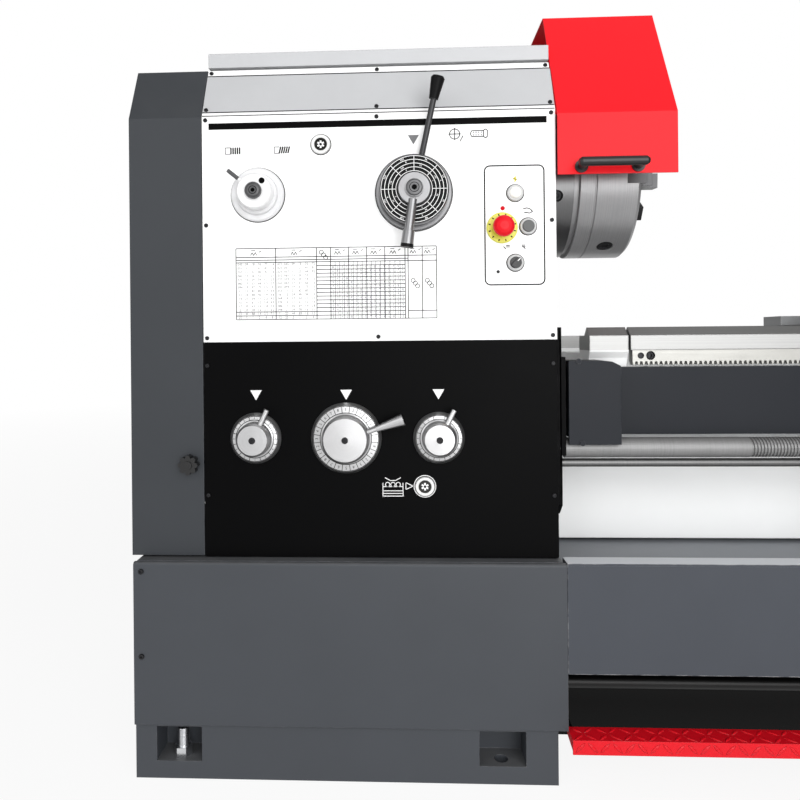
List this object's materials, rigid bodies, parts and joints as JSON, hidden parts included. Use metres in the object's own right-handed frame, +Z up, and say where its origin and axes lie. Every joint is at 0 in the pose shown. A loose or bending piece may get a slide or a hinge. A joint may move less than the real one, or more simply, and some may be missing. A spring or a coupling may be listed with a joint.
{
  "type": "universal lathe",
  "caption": "Floor-standing universal gap-bed lathe with geared headstock, feed gearbox, jaw chuck under a hinged guard, carriage, tailstock, chip tray and foot brake.",
  "frame": {"origin": "on the floor under the middle of the headstock pedestal, in the upright plane of the spindle axis", "axes": "+X along the bed to the tailstock, +Y to the rear, +Z up"},
  "size_m": [3.3885, 0.737, 1.478],
  "materials": {
    "dark_grey_paint": "satin powder coat",
    "white_paint": "satin enamel",
    "light_grey_paint": "satin enamel",
    "bed_casting": "white enamel with ground ways",
    "black_paint": "satin black",
    "charcoal_paint": "satin enamel",
    "red_paint": "gloss enamel",
    "ground_steel": "ground",
    "dark_steel": "oiled",
    "cast_iron": "machined casting",
    "satin_aluminium": "satin",
    "zinc": "zinc plated",
    "black_screws": "black oxide",
    "black_plastic": "moulded",
    "light_plastic": "moulded",
    "red_plastic": "moulded",
    "grey_plastic": "moulded",
    "lamp_lens": "clear moulded lens",
    "sight_glass": "clear window in a plated ring",
    "belt_rubber": "moulded"
  },
  "bodies": {
    "frame": {"headstock_pedestal": "dark_grey_paint", "pedestal_front_cover": "dark_grey_paint", "tailstock_pedestal": "dark_grey_paint", "levelling_bolts": "zinc", "chip_tray": "dark_grey_paint", "bed": "bed_casting", "gap_bridge": "bed_casting", "rack": "dark_steel", "bed_front_cover": "charcoal_paint", "coupling_cover": "charcoal_paint", "gearbox_case": "black_paint", "gearbox_front_plate": "black_paint", "headstock_case": "white_paint", "headstock_front_panel": "white_paint", "headstock_slope_panel": "light_grey_paint", "headstock_lid": "light_grey_paint", "panel_screws": "black_screws", "switch_bezels": "light_plastic", "power_lamp": "lamp_lens", "oil_sights": "sight_glass", "selector_flanges": "ground_steel", "drive_belts": "belt_rubber"},
    "end_cover": {"end_cover": "dark_grey_paint"},
    "star_knob": {"star_knob": "black_plastic"},
    "motor_pulley": {"motor_pulley": "cast_iron"},
    "input_pulley": {"input_pulley": "cast_iron"},
    "gear_upper": {"gear_upper": "dark_steel"},
    "gear_idler": {"gear_idler": "dark_steel"},
    "gear_lower": {"gear_lower": "dark_steel"},
    "spindle": {"spindle": "ground_steel", "chuck_body": "ground_steel"},
    "jaw_1": {"chuck_jaw_1": "ground_steel"},
    "jaw_2": {"chuck_jaw_2": "ground_steel"},
    "jaw_3": {"chuck_jaw_3": "ground_steel"},
    "guard": {"chuck_guard": "red_paint", "guard_handle": "black_plastic"},
    "speed_dial": {"speed_dial": "black_plastic"},
    "range_lever": {"range_lever": "ground_steel"},
    "thread_hand": {"thread_hand_knob": "ground_steel"},
    "dial_left": {"gear_dial_left": "satin_aluminium"},
    "dial_middle": {"gear_dial_middle": "satin_aluminium"},
    "dial_right": {"gear_dial_right": "satin_aluminium"},
    "estop": {"estop_button": "red_plastic"},
    "jog": {"jog_button": "grey_plastic"},
    "selector": {"selector_knob": "black_plastic"},
    "leadscrew": {"leadscrew": "ground_steel"},
    "feed_rod": {"feed_rod": "dark_steel"},
    "carriage": {"saddle": "cast_iron", "apron": "black_paint"},
    "apron_wheel": {"apron_handwheel": "ground_steel"},
    "half_nut": {"half_nut_lever": "black_plastic"},
    "cross_slide": {"cross_slide": "cast_iron"},
    "cross_handle": {"cross_handle": "ground_steel"},
    "top_slide": {"top_slide": "cast_iron"},
    "top_handle": {"top_handle": "ground_steel"},
    "tool_post": {"tool_post": "dark_steel"},
    "tailstock": {"tailstock": "white_paint"},
    "quill": {"quill": "ground_steel"},
    "tail_wheel": {"tailstock_wheel": "ground_steel"},
    "pedal": {"brake_pedal": "red_paint"}
  },
  "joints": [
    {"name": "end_cover_hinge", "type": "hinge", "parent": "frame", "child": "end_cover", "pos_m": [-0.282, 0.208, 0.8], "axis": [0, 0, -1], "range_deg": [0, 95]},
    {"name": "star_knob_turn", "type": "hinge", "parent": "end_cover", "child": "star_knob", "pos_m": [-0.301, -0.26, 0.591], "axis": [0, 1, 0], "continuous": true},
    {"name": "input_pulley_spin", "type": "hinge", "parent": "frame", "child": "input_pulley", "pos_m": [-0.3, 0.085, 1.0235], "axis": [1, 0, 0], "continuous": true},
    {"name": "motor_pulley_spin", "type": "hinge", "parent": "frame", "child": "motor_pulley", "pos_m": [-0.3, 0.085, 0.25], "axis": [1, 0, 0], "continuous": true},
    {"name": "spindle_turn", "type": "hinge", "parent": "frame", "child": "spindle", "pos_m": [0, 0, 1.16], "axis": [1, 0, 0], "continuous": true},
    {"name": "gear_upper_spin", "type": "hinge", "parent": "frame", "child": "gear_upper", "pos_m": [-0.36, -0.15, 1], "axis": [1, 0, 0], "continuous": true},
    {"name": "gear_idler_spin", "type": "hinge", "parent": "frame", "child": "gear_idler", "pos_m": [-0.36, -0.08773, 0.83111], "axis": [1, 0, 0], "continuous": true},
    {"name": "gear_lower_spin", "type": "hinge", "parent": "frame", "child": "gear_lower", "pos_m": [-0.36, -0.15, 0.64], "axis": [1, 0, 0], "continuous": true},
    {"name": "jaw_1_slide", "type": "slide", "parent": "spindle", "child": "jaw_1", "axis": [0, -0.9976, -0.0698], "range_m": [-0.026, 0.02]},
    {"name": "jaw_2_slide", "type": "slide", "parent": "spindle", "child": "jaw_2", "axis": [0, 0.5592, -0.829], "range_m": [-0.026, 0.02]},
    {"name": "jaw_3_slide", "type": "slide", "parent": "spindle", "child": "jaw_3", "axis": [0, 0.4384, 0.8988], "range_m": [-0.026, 0.02]},
    {"name": "guard_hinge", "type": "hinge", "parent": "frame", "child": "guard", "pos_m": [0.5, 0.168, 1.346], "axis": [-1, 0, 0], "range_deg": [0, 95]},
    {"name": "speed_dial_turn", "type": "hinge", "parent": "frame", "child": "speed_dial", "pos_m": [0.131, -0.25, 1.103], "axis": [0, 1, 0], "range_deg": [-150, 150]},
    {"name": "range_lever_turn", "type": "hinge", "parent": "frame", "child": "range_lever", "pos_m": [0.131, -0.25, 1.103], "axis": [0, 1, 0], "range_deg": [-20, 20]},
    {"name": "thread_hand_turn", "type": "hinge", "parent": "frame", "child": "thread_hand", "pos_m": [-0.1664, -0.25, 1.104], "axis": [0, 1, 0], "range_deg": [-45, 45]},
    {"name": "dial_left_turn", "type": "hinge", "parent": "frame", "child": "dial_left", "pos_m": [-0.1737, -0.25, 0.64], "axis": [0, 1, 0], "range_deg": [-150, 150]},
    {"name": "dial_middle_turn", "type": "hinge", "parent": "frame", "child": "dial_middle", "pos_m": [-0.001, -0.25, 0.64], "axis": [0, 1, 0], "range_deg": [-110, 110]},
    {"name": "dial_right_turn", "type": "hinge", "parent": "frame", "child": "dial_right", "pos_m": [0.174, -0.25, 0.64], "axis": [0, 1, 0], "range_deg": [-150, 150]},
    {"name": "estop_press", "type": "slide", "parent": "frame", "child": "estop", "axis": [0, 1, 0], "range_m": [0, 0.0045], "stiffness_N_per_m": 800},
    {"name": "jog_press", "type": "slide", "parent": "frame", "child": "jog", "axis": [0, 1, 0], "range_m": [0, 0.0035], "stiffness_N_per_m": 500},
    {"name": "selector_turn", "type": "hinge", "parent": "frame", "child": "selector", "pos_m": [0.3204, -0.25, 0.968], "axis": [0, 1, 0], "range_deg": [-45, 45]},
    {"name": "leadscrew_turn", "type": "hinge", "parent": "frame", "child": "leadscrew", "pos_m": [1, -0.225, 0.617], "axis": [1, 0, 0], "continuous": true},
    {"name": "feed_rod_turn", "type": "hinge", "parent": "frame", "child": "feed_rod", "pos_m": [1, -0.225, 0.588], "axis": [1, 0, 0], "continuous": true},
    {"name": "carriage_slide", "type": "slide", "parent": "frame", "child": "carriage", "axis": [1, 0, 0], "range_m": [-0.28, 0.94]},
    {"name": "apron_wheel_turn", "type": "hinge", "parent": "carriage", "child": "apron_wheel", "pos_m": [1.11, -0.34, 0.7], "axis": [0, 1, 0], "range_deg": [-803, 2694]},
    {"name": "half_nut_turn", "type": "hinge", "parent": "carriage", "child": "half_nut", "pos_m": [1.345, -0.34, 0.66], "axis": [0, 1, 0], "range_deg": [0, 35]},
    {"name": "cross_handle_turn", "type": "hinge", "parent": "carriage", "child": "cross_handle", "pos_m": [1.225, -0.34, 0.866], "axis": [0, 1, 0], "range_deg": [-7200, 5760]},
    {"name": "cross_slide_slide", "type": "slide", "parent": "carriage", "child": "cross_slide", "axis": [0, 1, 0], "range_m": [-0.1, 0.08]},
    {"name": "top_handle_turn", "type": "hinge", "parent": "top_slide", "child": "top_handle", "pos_m": [1.375, -0.06, 1.038], "axis": [1, 0, 0], "range_deg": [-4500, 4500]},
    {"name": "top_slide_slide", "type": "slide", "parent": "cross_slide", "child": "top_slide", "axis": [1, 0, 0], "range_m": [-0.05, 0.05]},
    {"name": "tool_post_turn", "type": "hinge", "parent": "top_slide", "child": "tool_post", "pos_m": [1.14, -0.06, 1.07], "axis": [0, 0, 1], "continuous": true},
    {"name": "tailstock_slide", "type": "slide", "parent": "frame", "child": "tailstock", "axis": [1, 0, 0], "range_m": [-0.95, 0]},
    {"name": "tail_wheel_turn", "type": "hinge", "parent": "tailstock", "child": "tail_wheel", "pos_m": [2.882, 0, 1.16], "axis": [1, 0, 0], "range_deg": [-9000, 0]},
    {"name": "quill_slide", "type": "slide", "parent": "tailstock", "child": "quill", "axis": [1, 0, 0], "range_m": [-0.15, 0]},
    {"name": "pedal_press", "type": "hinge", "parent": "frame", "child": "pedal", "pos_m": [1.4, -0.14, 0.13], "axis": [1, 0, 0], "range_deg": [0, 5], "stiffness_Nm_per_rad": 180, "springref_deg": -20.05}
  ],
  "couplings": [
    {"joint": "motor_pulley_spin", "follows": "input_pulley_spin", "ratio": 1.5329},
    {"joint": "gear_upper_spin", "follows": "spindle_turn", "ratio": 1},
    {"joint": "gear_idler_spin", "follows": "spindle_turn", "ratio": -0.5},
    {"joint": "gear_lower_spin", "follows": "spindle_turn", "ratio": 0.74074},
    {"joint": "jaw_2_slide", "follows": "jaw_1_slide", "ratio": 1},
    {"joint": "jaw_3_slide", "follows": "jaw_1_slide", "ratio": 1},
    {"joint": "apron_wheel_turn", "follows": "carriage_slide", "rad_per_m": 50},
    {"joint": "cross_handle_turn", "follows": "cross_slide_slide", "rad_per_m": 1256.6},
    {"joint": "top_handle_turn", "follows": "top_slide_slide", "rad_per_m": 1570.8},
    {"joint": "quill_slide", "follows": "tail_wheel_turn", "m_per_rad": 0.00095493}
  ]
}
